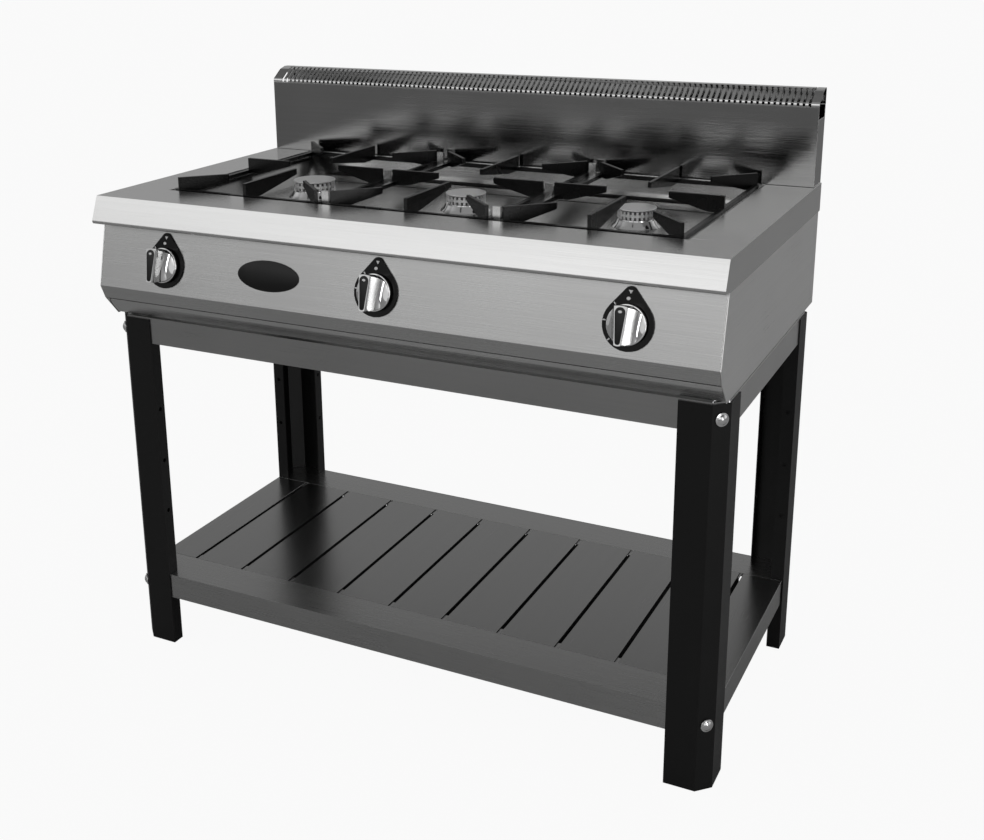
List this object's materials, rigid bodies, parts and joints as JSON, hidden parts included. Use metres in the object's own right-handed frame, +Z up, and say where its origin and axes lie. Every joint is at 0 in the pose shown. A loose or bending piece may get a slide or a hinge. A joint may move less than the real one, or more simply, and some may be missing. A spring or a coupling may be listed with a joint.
{
  "type": "gas range top on stand",
  "caption": "Low commercial gas range top with grates, control knobs, drip tray and flue backsplash, on an open stand with a slatted shelf.",
  "frame": {"origin": "on the floor, at the centre of the bounding box's base", "axes": "+X to the right seen from the front, +Y to the rear, +Z up; the control panel faces -Y"},
  "size_m": [1.091, 0.64, 1.0126],
  "materials": {
    "leg_paint": "satin black paint on folded steel",
    "bolt_steel": "bright zinc",
    "rail_steel": "brushed",
    "shelf_steel": "fine brushed, half gloss",
    "body_steel": "brushed",
    "panel_steel": "brushed, satin",
    "worktop_steel": "brushed, lit bright",
    "hob_steel": "bright rolled",
    "backsplash_steel": "half polished",
    "vent_steel": "brushed",
    "burner_metal": "polished",
    "grate_enamel": "black enamel",
    "bezel_black": "gloss black",
    "valve_brass": "machined",
    "spindle_steel": "machined",
    "knob_finish": "bright plated skirt and faces, black grip",
    "pipe_brass": "drawn pipe"
  },
  "bodies": {
    "base": {"leg_front_left": "leg_paint", "top_bolt_front_left": "bolt_steel", "shelf_bolt_front_left": "bolt_steel", "leg_front_right": "leg_paint", "top_bolt_front_right": "bolt_steel", "shelf_bolt_front_right": "bolt_steel", "leg_rear_left": "leg_paint", "top_bolt_rear_left": "bolt_steel", "shelf_bolt_rear_left": "bolt_steel", "leg_rear_right": "leg_paint", "top_bolt_rear_right": "bolt_steel", "shelf_bolt_rear_right": "bolt_steel", "rail_front": "rail_steel", "rail_rear": "rail_steel", "rail_left": "rail_steel", "rail_right": "rail_steel", "shelf_front": "shelf_steel", "shelf_rear": "shelf_steel", "shelf_left": "shelf_steel", "shelf_right": "shelf_steel", "shelf_slat_1": "shelf_steel", "shelf_slat_2": "shelf_steel", "shelf_slat_3": "shelf_steel", "shelf_slat_4": "shelf_steel", "shelf_slat_5": "shelf_steel", "shelf_slat_6": "shelf_steel", "shelf_slat_7": "shelf_steel", "shelf_slat_8": "shelf_steel", "shelf_slat_9": "shelf_steel", "body_left": "body_steel", "body_right": "body_steel", "body_back": "body_steel", "control_panel": "panel_steel", "worktop": "worktop_steel", "hob_tray": "hob_steel", "backsplash": "backsplash_steel", "vent_cap": "vent_steel", "burner_left": "burner_metal", "tap_bezel_left": "bezel_black", "tap_valve_left": "valve_brass", "burner_middle": "burner_metal", "tap_bezel_middle": "bezel_black", "tap_valve_middle": "valve_brass", "burner_right": "burner_metal", "tap_bezel_right": "bezel_black", "tap_valve_right": "valve_brass", "gas_manifold": "pipe_brass"},
    "drip_tray": {"drip_tray": "body_steel"},
    "grate_left": {"grate_left": "grate_enamel"},
    "burner_cap_left": {"burner_cap_left": "burner_metal"},
    "tap_spindle_left": {"tap_spindle_left": "spindle_steel"},
    "knob_left": {"knob_left": "knob_finish"},
    "grate_middle": {"grate_middle": "grate_enamel"},
    "burner_cap_middle": {"burner_cap_middle": "burner_metal"},
    "tap_spindle_middle": {"tap_spindle_middle": "spindle_steel"},
    "knob_middle": {"knob_middle": "knob_finish"},
    "grate_right": {"grate_right": "grate_enamel"},
    "burner_cap_right": {"burner_cap_right": "burner_metal"},
    "tap_spindle_right": {"tap_spindle_right": "spindle_steel"},
    "knob_right": {"knob_right": "knob_finish"}
  },
  "joints": [
    {"name": "drip_tray_slide", "type": "slide", "parent": "base", "child": "drip_tray", "axis": [0, -1, 0], "range_m": [0, 0.4]},
    {"name": "grate_left_lift", "type": "slide", "parent": "base", "child": "grate_left", "axis": [0, 0, 1], "range_m": [0, 0.12]},
    {"name": "burner_cap_left_lift", "type": "slide", "parent": "base", "child": "burner_cap_left", "axis": [0, 0, 1], "range_m": [0, 0.1]},
    {"name": "tap_left_push", "type": "slide", "parent": "base", "child": "tap_spindle_left", "axis": [0, 0.975, -0.2222], "range_m": [0, 0.003], "stiffness_N_per_m": 800, "springref_m": -0.002},
    {"name": "knob_left_turn", "type": "hinge", "parent": "tap_spindle_left", "child": "knob_left", "pos_m": [-0.406, -0.27288, 0.74229], "axis": [0, -0.975, 0.2222], "range_deg": [0, 130]},
    {"name": "grate_middle_lift", "type": "slide", "parent": "base", "child": "grate_middle", "axis": [0, 0, 1], "range_m": [0, 0.12]},
    {"name": "burner_cap_middle_lift", "type": "slide", "parent": "base", "child": "burner_cap_middle", "axis": [0, 0, 1], "range_m": [0, 0.1]},
    {"name": "tap_middle_push", "type": "slide", "parent": "base", "child": "tap_spindle_middle", "axis": [0, 0.975, -0.2222], "range_m": [0, 0.003], "stiffness_N_per_m": 800, "springref_m": -0.002},
    {"name": "knob_middle_turn", "type": "hinge", "parent": "tap_spindle_middle", "child": "knob_middle", "pos_m": [0, -0.27288, 0.74229], "axis": [0, -0.975, 0.2222], "range_deg": [0, 130]},
    {"name": "grate_right_lift", "type": "slide", "parent": "base", "child": "grate_right", "axis": [0, 0, 1], "range_m": [0, 0.12]},
    {"name": "burner_cap_right_lift", "type": "slide", "parent": "base", "child": "burner_cap_right", "axis": [0, 0, 1], "range_m": [0, 0.1]},
    {"name": "tap_right_push", "type": "slide", "parent": "base", "child": "tap_spindle_right", "axis": [0, 0.975, -0.2222], "range_m": [0, 0.003], "stiffness_N_per_m": 800, "springref_m": -0.002},
    {"name": "knob_right_turn", "type": "hinge", "parent": "tap_spindle_right", "child": "knob_right", "pos_m": [0.406, -0.27288, 0.74229], "axis": [0, -0.975, 0.2222], "range_deg": [0, 130]}
  ]
}
